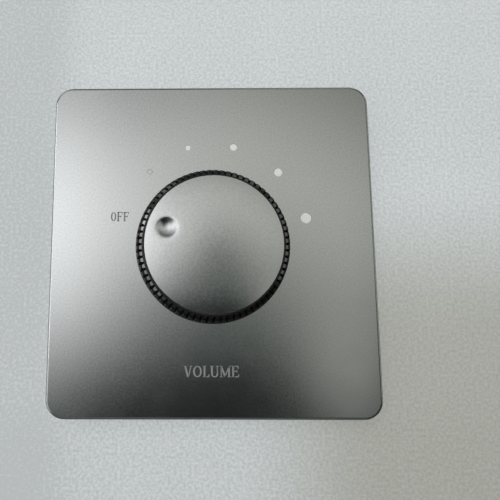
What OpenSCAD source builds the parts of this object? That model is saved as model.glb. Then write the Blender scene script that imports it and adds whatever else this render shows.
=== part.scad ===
// Wall volume control for a flush wall box: a cover plate with a push-on knob in front, a stepped
// rotary switch behind it, and a tapped transformer and a terminal block at the rear.
// Every piece is drawn face up, with x to the right, y up the wall and z out of the wall.
// stand_up() then turns it upright: the front looks along -Y and the wall is the plane y = 0.

/* [Face plate] */
// Width of the face plate
plate_w = 86; // [85:0.5:92]
// Height of the face plate
plate_h = 88.5; // [86:0.5:94]
// Distance from the wall to the front of the plate
plate_depth = 8; // [7.5:0.5:11]
// Radius of the corners in front view
plate_corner_r = 5; // [4.5:0.5:8]
// Thickness of the front wall
plate_front = 2; // [1.5:0.1:2.2]
// Thickness of the skirt
plate_skirt = 1.8; // [1.4:0.1:2]
// Rounding of the front edge
plate_edge_r = 0.8; // [0.4:0.1:1.2]
// Diameter of the hole that the knob's boss passes through
plate_hole_d = 17; // [15.5:0.5:20]
// Gap between the wall and the skirt
plate_wall_gap = 0.2; // [0.1:0.1:0.5]
// Width of each snap ridge inside the skirt
snap_w = 8; // [5:0.5:12]
// Height of each snap ridge
snap_h = 1.4; // [1:0.1:1.8]
// Reach of a snap ridge under the mounting frame
snap_hold = 0.5; // [0.3:0.1:0.7]
// Distance between the two snap ridges on one side
snap_spacing = 48; // [40:1:56]
// Width of the prising notch in the lower skirt
pry_w = 8; // [5:0.5:12]
// Height of the prising notch
pry_h = 1.5; // [1:0.1:2.2]

/* [Mounting frame] */
// Thickness of the sheet
frame_sheet = 2.2; // [1.8:0.1:2.6]
// Height of the sheet's rear face above the wall
frame_land = 0.8; // [0.5:0.1:1.2]
// Thickness of the rim
frame_wall = 1.6; // [1.4:0.1:2]
// Height of the stiffening ribs
frame_rib_h = 2; // [1:0.1:2.2]
// Thickness of the stiffening ribs
frame_rib_t = 1.4; // [1:0.1:2]
// Distance of the ribs from the centre lines
frame_rib_at = 18; // [16:0.5:20]
// Distance between the two fixing slots
slot_spacing = 60.3; // [58:0.1:64]
// Length of a fixing slot from end to end
slot_l = 9; // [6:0.5:10]
// Width of a fixing slot
slot_w = 4.4; // [3.6:0.1:5]
// Wall around a fixing slot
slot_rim = 1.8; // [1:0.1:2.5]
// Diameter of the posts that carry the circuit board
post_d = 6.5; // [5.5:0.5:8]

/* [Knob] */
// Diameter of the knob at its foot
knob_d = 40.4; // [38:0.2:44]
// Lean of the steep side, from the foot in to the shoulder
knob_side_in = 0.8; // [0.6:0.05:1.2]
// Height of the steep side
knob_side_h = 3.65; // [3.2:0.05:6]
// Width of the slope above the shoulder
knob_slope_w = 1.4; // [1:0.05:1.8]
// Height of the slope
knob_slope_h = 0.7; // [0.6:0.05:1.1]
// Rounding of the shoulder
shoulder_round = 1.6; // [0.8:0.1:2]
// Thickness of the collar around the cap, at its foot
knob_collar_t = 0.55; // [0.4:0.05:0.9]
// Height of the collar around the cap
knob_collar_h = 1.25; // [0.8:0.05:1.4]
// Width of the rim left at the top of the collar
knob_lip = 0.2; // [0.1:0.05:0.3]
// Wall of the knob's skirt
knob_wall = 1.8; // [1.4:0.1:2.4]
// Thickness of the web under the cap
knob_web = 1.6; // [1.2:0.1:1.8]
// Number of grip teeth
knob_teeth = 72; // [48:2:90]
// Height above the foot where the grooves between the teeth begin
groove_from = 1.3; // [0.8:0.1:2]
// Depth of a groove where it ends at the collar
groove_end_depth = 0.36; // [0.2:0.02:0.4]
// Angle between the sides of a groove
groove_angle = 62; // [45:1:70]
// Diameter of the boss
knob_boss_d = 11; // [9.5:0.5:12]
// Width of the slot that splits the boss
knob_split_w = 1; // [0.6:0.1:1.6]
// Number of ribs under the web
knob_ribs = 6; // [3:1:8]
// Thickness of the ribs under the web
knob_rib_t = 1; // [0.8:0.1:1.6]
// Height of the ribs under the web
knob_rib_h = 1.2; // [0.6:0.1:1.6]
// Gap between the plate and the knob
knob_gap = 0.7; // [0.4:0.1:1.2]
// Direction of the pointer dimple at rest, anticlockwise from three o'clock
rest_angle = 161; // [150:1:180]

/* [Knob cap] */
// Thickness of the cap at its edge
cap_edge_t = 1.6; // [1.5:0.1:1.9]
// Rise of the cap from its edge to its centre
cap_dome = 0.9; // [0.2:0.1:1]
// Rounding of the cap's edge
cap_edge_r = 0.3; // [0.2:0.1:0.8]
// Distance from the cap's edge to the pointer dimple
dimple_edge = 2.1; // [1.5:0.1:5]
// Diameter of the pointer dimple
dimple_d = 5.2; // [4:0.2:6]
// Depth of the pointer dimple
dimple_depth = 0.6; // [0.5:0.1:1.1]

/* [Spring ring] */
// Thickness of the ring that closes the split boss
ring_t = 0.45; // [0.3:0.05:0.7]
// Width of the ring along the boss
ring_w = 1.8; // [1.2:0.1:2]
// Gap in the ring
ring_gap = 2; // [1:0.1:3]

/* [Switch] */
// Diameter of the shaft
shaft_d = 6; // [5.6:0.1:6.4]
// Thickness left at the flat of the shaft
shaft_flat_t = 4.5; // [4:0.1:5]
// Thickness of the shaft across its driving flats
shaft_drive_t = 4.6; // [4.2:0.1:5]
// Diameter of the rear pivot
pivot_d = 4; // [3:0.1:4.2]
// Outside diameter of the threaded bush
bush_d = 9; // [8.6:0.1:9.6]
// Length of the bush beyond its nut
bush_proud = 0.7; // [0.4:0.1:1]
// Diameter of the bush flange
bush_flange_d = 13; // [11.5:0.1:13.6]
// Thickness of the bush flange
bush_flange_t = 1.2; // [1:0.1:1.6]
// Width of the nut across its flats
nut_af = 11; // [11:0.5:13]
// Thickness of the nut
nut_t = 2; // [1.6:0.1:2.2]
// Outside diameter of the lock washer
washer_d = 13.6; // [12.6:0.1:15]
// Thickness of the lock washer
washer_t = 0.5; // [0.4:0.1:0.6]
// Number of teeth inside the lock washer
washer_teeth = 12; // [8:1:16]
// Outside diameter of the retaining clip
clip_d = 8.4; // [7.6:0.1:9]
// Thickness of the retaining clip
clip_t = 0.45; // [0.35:0.05:0.5]
// Width of the retaining clip's mouth
clip_mouth = 3.8; // [3:0.1:4.2]
// Depth of the clip's groove in the shaft
clip_groove = 0.6; // [0.4:0.1:0.8]
// Outside diameter of the housing
housing_d = 27; // [26.4:0.2:29]
// Thickness of the housing's front wall
housing_front_t = 1.8; // [1.4:0.1:2.4]
// Wall of the housing around the wafer
housing_lip = 1.4; // [1:0.1:1.6]
// Diameter of the locating peg
peg_d = 2; // [1.6:0.1:2.4]
// Distance of the locating peg from the axis
peg_at = 10.5; // [9.5:0.1:11]
// Diameter of the ring of detent notches
detent_d = 22.2; // [21.6:0.1:22.6]
// Depth of a detent notch
detent_depth = 0.4; // [0.3:0.05:0.5]
// Angle from one switch position to the next
step_angle = 30; // [24:1:30]
// Number of steps above the lowest position
step_count = 5; // [3:1:5]
// Thickness of the rotor
rotor_t = 3.8; // [3.6:0.1:5]
// Width of the rotor's stop lug in degrees
lug_angle = 24; // [16:1:30]
// Width of each fixed stop in degrees
stop_angle = 16; // [10:1:20]
// Diameter of the detent balls
ball_d = 3; // [2.6:0.1:3.2]
// Wire diameter of the detent springs
spring_wire = 0.35; // [0.25:0.05:0.4]
// Outside diameter of the detent springs
spring_d = 2.4; // [2:0.1:2.5]
// Distance from one turn of a detent spring to the next
spring_pitch = 0.8; // [0.7:0.05:0.9]
// Number of turns in a detent spring
spring_turns = 3; // [2:1:3]
// Radius of the ring of fixed contacts
contact_at = 8.5; // [8:0.1:9]
// Diameter of a fixed contact
contact_d = 2.2; // [1.6:0.1:2.6]
// Height of the fixed contacts above the wafer
contact_h = 0.6; // [0.4:0.1:0.8]
// Inside radius of the common contact
common_r1 = 3.4; // [3.2:0.1:3.6]
// Width of the common contact
common_w = 2; // [1.6:0.1:2.4]
// Direction of the common contact's tail
common_angle = 270; // [255:1:285]
// Diameter of the contact tails
tail_d = 0.9; // [0.6:0.1:1.1]
// Thickness of the wiper sheet
wiper_t = 0.3; // [0.2:0.05:0.4]
// Height of the wiper's contact domes
wiper_dome = 0.6; // [0.4:0.1:0.8]
// Width of the wiper arm
wiper_arm_w = 2.4; // [1.8:0.1:3]
// Thickness of the wafer
wafer_t = 1.6; // [1.2:0.1:2]
// Height of the tabs that hold the wafer
stake_h = 0.7; // [0.5:0.1:1]

/* [Circuit board] */
// Width of the board
board_w = 48; // [46:0.5:49]
// Height of the board
board_h = 62; // [60:0.5:66]
// Thickness of the board
board_t = 1.6; // [1:0.1:2]
// Distance of the screw holes from the board's edges
board_hole_edge = 3; // [2.8:0.1:3.4]
// Thread diameter of the board screws
screw_d = 2.2; // [2:0.1:2.6]
// Head diameter of the board screws
screw_head_d = 5; // [4:0.1:5.2]
// Head height of the board screws
screw_head_h = 1.7; // [1.2:0.1:2]
// Length of the cross recess in the board screws
screw_recess_l = 3; // [2:0.1:3.4]
// Width of the cross recess in the board screws
screw_recess_w = 0.8; // [0.6:0.1:1]
// Depth of the cross recess in the board screws
screw_recess_deep = 1; // [0.6:0.1:1.1]
// Length of the board screws under the head
screw_l = 8; // [6:0.5:10]

/* [Transformer] */
// Depth from the wall to the rear of the bobbin
rear_depth = 39.8; // [39:0.1:42]
// Width of the core
core_w = 35; // [34:0.5:35.5]
// Thickness of the stack of laminations
core_stack = 12; // [10:0.5:14]
// Width of the middle leg
core_leg = 9.6; // [8.6:0.1:10]
// Width of the outer legs and of both yokes
core_yoke = 5; // [4.5:0.1:5.4]
// Height of the windows in the core
core_window_h = 19.5; // [18:0.1:20]
// Wall of the bobbin's tube
bobbin_wall = 0.8; // [0.6:0.1:1]
// Thickness of the bobbin's flanges
flange_t = 0.9; // [0.7:0.1:1.2]
// Height of the flanges above the tape
flange_proud = 0.5; // [0.3:0.1:0.7]
// Build-up of the winding
winding_build = 4.2; // [3.4:0.1:4.6]
// Thickness of the tape around the winding
tape_t = 0.25; // [0.15:0.05:0.4]
// Gap between the board and the bobbin
bobbin_stand = 1.2; // [1:0.1:2]
// Height of the pin rails
rail_h = 4.5; // [3:0.1:5]
// Depth of the pin rails
rail_t = 2.6; // [2:0.1:3]
// Number of pins in one rail
rail_pins = 4; // [2:1:4]
// Distance between two pins
rail_pitch = 5; // [4:0.1:5.2]
// Diameter of the pins
rail_pin_d = 0.8; // [0.6:0.1:1]
// Depth of the pins in their rail
rail_pin_root = 3.6; // [2:0.1:4]
// Height of the transformer's middle above the knob axis
core_y = 10; // [9.6:0.1:10.4]

/* [Terminals] */
// Number of terminals
term_count = 4; // [2:1:4]
// Distance between two terminals
term_pitch = 7.62; // [7.2:0.02:8]
// Depth of the terminal block along the wall
term_l = 11; // [10.4:0.1:12]
// Height of the terminal block above the board
term_h = 13; // [12.4:0.1:15]
// Slanted corner of the terminal block
term_slant = 2.5; // [1.5:0.1:3]
// Wall between a terminal and the end of the block
term_end = 0.6; // [0.5:0.1:1.5]
// Distance from the lower edge of the board to the block
term_edge = 1.5; // [1:0.1:2.5]
// Height of a clamp above the board
clamp_stand = 2.5; // [2:0.1:3]
// Width of the space inside a clamp
clamp_in_w = 4.4; // [4.3:0.05:4.8]
// Height of the space inside a clamp
clamp_in_h = 4.8; // [4.7:0.1:5.2]
// Wall of a clamp
clamp_wall = 0.6; // [0.5:0.05:0.7]
// Length of a clamp
clamp_l = 6.4; // [5.8:0.1:7]
// Distance from the block's lower face to the clamps
clamp_inset = 1.3; // [0.8:0.1:1.6]
// Diameter of a clamp's pin
clamp_pin_d = 1.1; // [0.8:0.1:1.3]
// Thread diameter of the clamp screws
clamp_screw_d = 2.9; // [2.5:0.1:3.2]
// Head diameter of the clamp screws
clamp_head_d = 4.2; // [3.8:0.1:4.6]
// Head height of the clamp screws
clamp_head_h = 1.6; // [1.2:0.1:2]
// Width of the slot in the clamp screws
clamp_slot_w = 0.7; // [0.5:0.1:1]
// Depth of the slot in the clamp screws
clamp_slot_deep = 0.8; // [0.5:0.1:1]

/* [Clearances] */
// Gap between the plate's skirt and the mounting frame
frame_gap = 0.4; // [0.3:0.1:0.6]
// Gap between the plate's front wall and the frame's rim
seat_gap = 0.3; // [0.2:0.1:0.4]
// Play of the snap ridges
snap_play = 0.4; // [0.3:0.1:0.5]
// Radial clearance of the turning shaft
running_clear = 0.04; // [0.02:0.01:0.08]
// Radial clearance of pieces that are pushed together
push_clear = 0.03; // [0.02:0.01:0.06]
// Radial clearance of pieces that are fixed in a hole
fixed_clear = 0.1; // [0.05:0.01:0.15]
// Gap between a turning piece and a fixed one
moving_gap = 0.4; // [0.3:0.05:0.5]
// Gap between the detent balls and the crests of the notches
ball_clear = 0.05; // [0.03:0.01:0.1]
// Free travel at the end stops in degrees
stop_play = 2; // [1:0.5:4]
// Length of pins and tails beyond the board
pin_proud = 0.6; // [0.4:0.1:0.8]

/* [Hidden] */
$fn = 64;
// Segments of the cap's wide dome, which is a small part of a large circle
dome_fn = 4096;
// Extra length of every cutting tool
over = 1;

// Plate and frame
skirt_x = plate_w / 2 - plate_skirt;
plate_inner_z = plate_depth - plate_front;
frame_w = plate_w - 2 * (plate_skirt + frame_gap);
frame_h = plate_h - 2 * (plate_skirt + frame_gap);
frame_corner_r = inner_r(plate_corner_r, plate_skirt + frame_gap);
frame_front_z = frame_land + frame_sheet;
frame_rim_z = plate_inner_z - seat_gap;
snap_ledge_z = plate_wall_gap + snap_play + snap_h + snap_play;
step_range = step_angle * step_count;

// Knob
foot_r = knob_d / 2;
shoulder_r = foot_r - knob_side_in;
slope_r = shoulder_r - knob_slope_w;
recess_r = slope_r - knob_collar_t;
side_lean = atan(knob_side_in / knob_side_h);
slope_lean = atan(knob_slope_h / knob_slope_w);
round_back = shoulder_round * tan((90 - side_lean - slope_lean) / 2);
groove_start_r = foot_r - groove_from * tan(side_lean);
groove_in = groove_start_r - slope_r;
groove_rise = knob_side_h - groove_from + knob_slope_h;
groove_chord = sqrt(groove_in * groove_in + groove_rise * groove_rise);
groove_tilt = atan(groove_in / groove_rise) + asin(groove_end_depth / groove_chord);
groove_l = sqrt(groove_chord * groove_chord - groove_end_depth * groove_end_depth);
boss_r = knob_boss_d / 2;
cap_r = recess_r - fixed_clear;
cap_flat_r = cap_r - cap_edge_r;
dimple_at = cap_r - dimple_edge - dimple_d / 2;
cap_dome_r = (cap_flat_r * cap_flat_r + cap_dome * cap_dome) / (2 * cap_dome);
dimple_r = (dimple_d * dimple_d / 4 + dimple_depth * dimple_depth) / (2 * dimple_depth);
cap_rise_at_dimple = sqrt(cap_dome_r * cap_dome_r - dimple_at * dimple_at) - cap_dome_r + cap_dome;

// Switch
shaft_r = shaft_d / 2;
flat_at = shaft_flat_t - shaft_r;
bush_r = bush_d / 2;
detent_r = detent_d / 2;
rotor_r = detent_r - moving_gap;
ball_r = ball_d / 2;
ball_at = detent_r - ball_clear - ball_r;
ball_bore_r = ball_r + push_clear;
spring_l = spring_turns * spring_pitch + spring_wire;
bore_floor_at = ball_at - ball_r - spring_l;
notch_r = ball_r + detent_depth;
notch_at = detent_r + detent_depth - notch_r;
stop_r1 = bush_flange_d / 2 + moving_gap;
stop_r2 = rotor_r - moving_gap;
stop_offset = lug_angle / 2 + stop_play + stop_angle / 2;
wafer_r = housing_d / 2 - housing_lip;
peg_r = peg_d / 2;
common_r2 = common_r1 + common_w;
tail_angles = [for (i = [0:step_count]) rest_angle - i * step_angle];

// Board and transformer
post_x = board_w / 2 - board_hole_edge;
post_y = board_h / 2 - board_hole_edge;
tube_w = core_leg + 2 * (fixed_clear + bobbin_wall);
tube_deep = core_stack + 2 * (fixed_clear + bobbin_wall);
coil_w = tube_w + 2 * winding_build;
coil_deep = tube_deep + 2 * winding_build;
flange_w = coil_w + 2 * (tape_t + flange_proud);
flange_deep = coil_deep + 2 * (tape_t + flange_proud);
bobbin_l = core_window_h - 2 * fixed_clear;
coil_l = bobbin_l - 2 * flange_t;
coil_corner_r = winding_build;
rail_y = bobbin_l / 2 + rail_t / 2;

// Levels in front of the frame, from the sheet outwards
nut_z = frame_front_z + washer_t;
bush_top_z = nut_z + nut_t + bush_proud;
clip_z = bush_top_z + running_clear;
boss_z = clip_z + clip_t + moving_gap;
knob_z = plate_depth + knob_gap;
shoulder_z = knob_z + knob_side_h;
slope_z = shoulder_z + knob_slope_h;
round_foot = [shoulder_r + round_back * sin(side_lean), shoulder_z - round_back * cos(side_lean)];
round_top = [shoulder_r - round_back * cos(slope_lean), shoulder_z + round_back * sin(slope_lean)];
round_mid = round_foot - shoulder_round * [cos(side_lean), sin(side_lean)];
knob_top_z = slope_z + knob_collar_h;
web_top_z = knob_top_z - cap_edge_t + knob_lip / 2;
web_z = web_top_z - knob_web;
bore_top_z = web_z + knob_web / 2;
shaft_top_z = bore_top_z - moving_gap;
ring_z = boss_z + moving_gap;

// Levels behind the frame, from the sheet inwards
housing_floor_z = frame_land - housing_front_t;
bush_rear_z = housing_floor_z - bush_flange_t;
rotor_front_z = bush_rear_z - moving_gap;
rotor_mid_z = rotor_front_z - rotor_t / 2;
rotor_rear_z = rotor_front_z - rotor_t;
wiper_rear_z = rotor_rear_z - wiper_t;
contact_z = wiper_rear_z - wiper_dome - moving_gap / 2;
wafer_front_z = contact_z - contact_h;
wafer_rear_z = wafer_front_z - wafer_t;
housing_rear_z = wafer_rear_z - stake_h;
board_rear_z = bobbin_stand + flange_deep - rear_depth;
board_front_z = board_rear_z + board_t;
tail_end_z = board_rear_z - pin_proud;
pin_end_z = board_front_z + pin_proud;
bobbin_z = board_rear_z - bobbin_stand;
core_z = bobbin_z - flange_deep / 2;

// Terminals
term_w = term_count * term_pitch + 2 * term_end;
term_y0 = -board_h / 2 + term_edge;
term_rear_z = board_rear_z - term_h;
clamp_w = clamp_in_w + 2 * clamp_wall;
clamp_h = clamp_in_h + 2 * clamp_wall;
clamp_z = board_rear_z - clamp_stand;
clamp_y = term_y0 + clamp_inset + clamp_l / 2;
clamp_head_z = term_rear_z + clamp_head_h;

function inner_r(r, wall) = max(r - wall, 0.3);
function term_x(i) = (i - (term_count - 1) / 2) * term_pitch;
function around(r, angle) = [r * cos(angle), r * sin(angle)];

// Turns a piece from lying face up to standing on the wall
module stand_up() {
    rotate([90, 0, 0]) children();
}

// Rectangle with round corners
module rounded_rect(w, h, r) {
    square([w - 2 * r, h], center = true);
    square([w, h - 2 * r], center = true);
    for (x = [-1, 1], y = [-1, 1]) {
        translate([x * (w / 2 - r), y * (h / 2 - r)]) circle(r);
    }
}

// Section of a slab whose two front edges are rounded
module slab_section(w, d, edge) {
    translate([-w / 2, 0]) square([w, d - edge]);
    translate([-w / 2 + edge, 0]) square([w - 2 * edge, d]);
    for (x = [-1, 1]) {
        translate([x * (w / 2 - edge), d - edge]) circle(edge);
    }
}

// Slab with round corners and a rounded front edge, standing on z = 0
module rounded_slab(w, h, d, corner, edge) {
    rotate([90, 0, 0]) linear_extrude(h - 2 * corner, center = true) slab_section(w, d, edge);
    rotate([90, 0, 90]) linear_extrude(w - 2 * corner, center = true) slab_section(h, d, edge);
    for (x = [-1, 1], y = [-1, 1]) {
        translate([x * (w / 2 - corner), y * (h / 2 - corner), 0]) rotate_extrude() intersection() {
            slab_section(2 * corner, d, edge);
            square([corner, d]);
        }
    }
}

// Ring between two radii
module ring(r_out, r_in, h) {
    linear_extrude(h) difference() {
        circle(r_out);
        circle(r_in);
    }
}

// Block that fills part of a ring, with its middle at the given angle
module arc_block(r_out, r_in, angle, width, h) {
    reach = 2 * r_out;
    linear_extrude(h) intersection() {
        difference() {
            circle(r_out);
            circle(r_in);
        }
        polygon([[0, 0], around(reach, angle - width / 2), around(reach, angle + width / 2)]);
    }
}

// Slot with round ends, along x
module slot_shape(l, w) {
    square([l - w, w], center = true);
    for (x = [-1, 1]) {
        translate([x * (l - w) / 2, 0]) circle(w / 2);
    }
}

// Rectangular tube along y with round outer and inner corners
module coil_tube(w_out, deep_out, r_out, w_in, deep_in, r_in, l) {
    rotate([90, 0, 0]) linear_extrude(l, center = true) difference() {
        rounded_rect(w_out, deep_out, r_out);
        rounded_rect(w_in, deep_in, r_in);
    }
}

// Snap ridge on the right-hand skirt
module snap_ridge() {
    foot = plate_wall_gap + snap_play;
    root_x = skirt_x + plate_skirt / 2;
    tip_x = frame_w / 2 - snap_hold;
    rotate([90, 0, 0]) linear_extrude(snap_w, center = true) polygon([
        [root_x, foot],
        [skirt_x, foot],
        [tip_x, foot + snap_h / 2],
        [tip_x, foot + snap_h],
        [root_x, foot + snap_h]
    ]);
}

module at_snaps() {
    for (side = [0, 1], y = [-1, 1]) {
        mirror([side, 0, 0]) translate([0, y * snap_spacing / 2, 0]) children();
    }
}

module at_posts() {
    for (x = [-1, 1], y = [-1, 1]) {
        translate([x * post_x, y * post_y, 0]) children();
    }
}

module at_terminals() {
    for (i = [0:term_count - 1]) {
        translate([term_x(i), clamp_y, 0]) children();
    }
}

module at_rail_pins() {
    for (side = [-1, 1], i = [0:rail_pins - 1]) {
        translate([(i - (rail_pins - 1) / 2) * rail_pitch, core_y + side * rail_y, 0]) children();
    }
}

module at_tails() {
    for (a = concat(tail_angles, [common_angle])) {
        translate(around(contact_at, a)) children();
    }
}

// Helical wire along z, swept as one tube of six-sided rings
module coil_spring(mean_r, wire_r, pitch, turns) {
    sides = 6;
    per_turn = 8;
    rings = turns * per_turn;
    rise = pitch / per_turn;
    lead = atan(pitch / (2 * PI * mean_r));
    points = [
        for (i = [0:rings], j = [0:sides - 1])
        let (a = 360 * i / per_turn, b = 360 * j / sides)
        let (out = mean_r + wire_r * cos(b), up = wire_r * sin(b))
        [
            out * cos(a) + up * sin(lead) * sin(a),
            out * sin(a) - up * sin(lead) * cos(a),
            rise * i + up * cos(lead)
        ]
    ];
    sleeve = [
        for (i = [0:rings - 1], j = [0:sides - 1])
        let (k = (j + 1) % sides, p = i * sides, q = p + sides)
        each [[p + j, p + k, q + j], [p + k, q + k, q + j]]
    ];
    ends = [
        for (j = [1:sides - 2])
        each [[0, j + 1, j], [rings * sides, rings * sides + j, rings * sides + j + 1]]
    ];
    polyhedron(points, concat(sleeve, ends));
}

// Cover plate with its skirt, snap ridges and prising notch
module face_plate() {
    color("slategray") stand_up() difference() {
        union() {
            difference() {
                translate([0, 0, plate_wall_gap]) rounded_slab(
                    plate_w, plate_h, plate_depth - plate_wall_gap, plate_corner_r, plate_edge_r);
                linear_extrude(plate_inner_z) rounded_rect(
                    plate_w - 2 * plate_skirt, plate_h - 2 * plate_skirt,
                    inner_r(plate_corner_r, plate_skirt));
            }
            at_snaps() snap_ridge();
        }
        translate([0, 0, plate_inner_z - over]) cylinder(d = plate_hole_d, h = plate_front + 2 * over);
        translate([-pry_w / 2, -plate_h / 2 - over, 0]) cube([
            pry_w, plate_skirt + 2 * over, plate_wall_gap + pry_h]);
    }
}

// Ribbed frame that is screwed to the wall box and carries the switch and the board
module mounting_frame() {
    pilot_r = screw_d / 2 + push_clear;
    rib_w = frame_w - frame_wall;
    rib_l = frame_h - frame_wall;
    color("dimgray") stand_up() difference() {
        union() {
            linear_extrude(frame_rim_z) difference() {
                rounded_rect(frame_w, frame_h, frame_corner_r);
                rounded_rect(
                    frame_w - 2 * frame_wall, frame_h - 2 * frame_wall,
                    inner_r(frame_corner_r, frame_wall));
            }
            translate([0, 0, frame_land]) linear_extrude(frame_sheet) rounded_rect(
                frame_w - frame_wall, frame_h - frame_wall, inner_r(frame_corner_r, frame_wall / 2));
            for (x = [-1, 1]) {
                translate([x * slot_spacing / 2, 0, 0]) linear_extrude(frame_front_z)
                    slot_shape(slot_l + 2 * slot_rim, slot_w + 2 * slot_rim);
            }
            translate([0, 0, frame_front_z - frame_sheet / 2]) linear_extrude(frame_rib_h + frame_sheet / 2) {
                for (side = [-1, 1]) {
                    translate([side * frame_rib_at, 0]) square([frame_rib_t, rib_l], center = true);
                    translate([0, side * frame_rib_at]) square([rib_w, frame_rib_t], center = true);
                }
            }
            at_posts() translate([0, 0, board_front_z])
                cylinder(d = post_d, h = frame_land - board_front_z + frame_sheet / 2);
        }
        for (x = [-1, 1]) {
            translate([x * slot_spacing / 2, 0, -over]) linear_extrude(frame_front_z + 2 * over)
                slot_shape(slot_l, slot_w);
        }
        translate([0, 0, frame_land - over]) cylinder(r = bush_r + fixed_clear, h = frame_sheet + 2 * over);
        translate([0, -peg_at, frame_land - over])
            cylinder(r = peg_r + fixed_clear, h = frame_sheet + 2 * over);
        at_snaps() translate([
            frame_w / 2 - snap_hold - snap_play, -snap_w / 2 - snap_play, -over]) cube([
            snap_hold + snap_play + over, snap_w + 2 * snap_play, snap_ledge_z + over]);
        at_posts() translate([0, 0, board_front_z - over])
            cylinder(r = pilot_r, h = screw_l - board_t + moving_gap + over);
    }
}

// Straight grooves between the grip teeth: they start on the side, cross the shoulder and end at the collar
module tooth_grooves() {
    reach = groove_chord / 2;
    mouth = reach * tan(groove_angle / 2);
    for (i = [0:knob_teeth - 1]) {
        rotate([0, 0, i * 360 / knob_teeth]) translate([groove_start_r, 0, knob_z + groove_from])
            rotate([0, -groove_tilt, 0]) translate([0, 0, -over])
            linear_extrude(over + groove_l) polygon([[0, 0], [reach, -mouth], [reach, mouth]]);
    }
}

// Moulded knob: toothed skirt, collar, web, ribs and split boss
module knob_body() {
    bore_r = shaft_r + push_clear;
    color([0.05, 0.05, 0.05]) stand_up() difference() {
        union() {
            difference() {
                rotate_extrude() {
                    polygon([
                        [0, web_top_z],
                        [recess_r, web_top_z],
                        [recess_r, knob_top_z],
                        [recess_r + knob_lip, knob_top_z],
                        [slope_r, slope_z],
                        round_top,
                        round_foot,
                        [foot_r, knob_z],
                        [foot_r - knob_wall, knob_z],
                        [slope_r - knob_wall, web_z],
                        [0, web_z]
                    ]);
                    intersection() {
                        translate(round_mid) circle(shoulder_round);
                        polygon([round_foot, [shoulder_r, shoulder_z], round_top]);
                    }
                }
                tooth_grooves();
            }
            translate([0, 0, boss_z]) cylinder(r = boss_r, h = web_z - boss_z + knob_web / 4);
            for (i = [0:knob_ribs - 1]) {
                rotate([0, 0, rest_angle + i * 360 / knob_ribs]) translate([
                    boss_r / 2 + shaft_r / 2, -knob_rib_t / 2, web_z - knob_rib_h]) cube([
                    slope_r - knob_wall / 2 - boss_r / 2 - shaft_r / 2, knob_rib_t,
                    knob_rib_h + knob_web / 4]);
            }
        }
        translate([0, 0, boss_z - over]) rotate([0, 0, rest_angle]) linear_extrude(bore_top_z - boss_z + over)
            intersection() {
                circle(bore_r);
                translate([-bore_r - over, -bore_r - over])
                    square([bore_r + over + flat_at + push_clear, 2 * (bore_r + over)]);
            }
        rotate([0, 0, rest_angle]) translate([-knob_split_w / 2, -boss_r - over, boss_z - over])
            cube([knob_split_w, 2 * (boss_r + over), ring_w + 2 * moving_gap + over]);
    }
}

// Slightly domed metal cap with a round pointer dimple
module knob_cap() {
    color("slategray") stand_up() translate([0, 0, web_top_z]) difference() {
        rotate_extrude() {
            square([cap_flat_r, cap_edge_t]);
            square([cap_r, cap_edge_t - cap_edge_r]);
            translate([cap_flat_r, cap_edge_t - cap_edge_r]) circle(cap_edge_r);
            intersection() {
                translate([0, cap_edge_t + cap_dome - cap_dome_r]) circle(cap_dome_r, $fn = dome_fn);
                square([cap_flat_r, cap_edge_t + cap_dome]);
            }
        }
        rotate([0, 0, rest_angle]) translate([
            dimple_at, 0, cap_edge_t + cap_rise_at_dimple - dimple_depth + dimple_r]) sphere(dimple_r);
    }
}

// Open ring of spring steel around the split boss
module knob_spring_ring() {
    color("silver") stand_up() translate([0, 0, ring_z]) difference() {
        ring(boss_r + push_clear + ring_t, boss_r + push_clear, ring_w);
        rotate([0, 0, rest_angle]) translate([0, -ring_gap / 2, -over])
            cube([boss_r + ring_t + over, ring_gap, ring_w + 2 * over]);
    }
}

// Shaft with the knob's flat, the clip's groove, driving flats and a rear pivot
module switch_shaft() {
    color("lightgray") stand_up() rotate([0, 0, rest_angle]) {
        difference() {
            translate([0, 0, rotor_rear_z]) cylinder(r = shaft_r, h = shaft_top_z - rotor_rear_z);
            translate([flat_at, -shaft_r - over, boss_z - moving_gap])
                cube([shaft_r + over, 2 * (shaft_r + over), shaft_top_z - boss_z + moving_gap + over]);
            translate([0, 0, clip_z - running_clear])
                ring(shaft_r + over, shaft_r - clip_groove, clip_t + 2 * running_clear);
            for (side = [0, 1]) {
                mirror([side, 0, 0]) translate([shaft_drive_t / 2, -shaft_r - over, rotor_rear_z - over])
                    cube([shaft_r + over, 2 * (shaft_r + over), rotor_t + moving_gap / 2 + over]);
            }
        }
        translate([0, 0, wafer_rear_z]) cylinder(d = pivot_d, h = rotor_rear_z - wafer_rear_z + over / 2);
    }
}

// Open clip in the shaft's groove, in front of the bush
module shaft_clip() {
    groove_r = shaft_r - clip_groove;
    color("silver") stand_up() rotate([0, 0, rest_angle]) translate([0, 0, clip_z]) difference() {
        ring(clip_d / 2, groove_r + push_clear, clip_t);
        translate([-clip_mouth / 2, 0, -over]) cube([clip_mouth, clip_d, clip_t + 2 * over]);
    }
}

// Threaded bush that guides the shaft and holds the switch in the frame
module switch_bush() {
    chamfer = bush_proud / 2;
    color("gold") stand_up() rotate_extrude() polygon([
        [shaft_r + running_clear, bush_rear_z],
        [bush_flange_d / 2, bush_rear_z],
        [bush_flange_d / 2, housing_floor_z],
        [bush_r, housing_floor_z],
        [bush_r, bush_top_z - chamfer],
        [bush_r - chamfer, bush_top_z],
        [shaft_r + running_clear, bush_top_z]
    ]);
}

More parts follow.
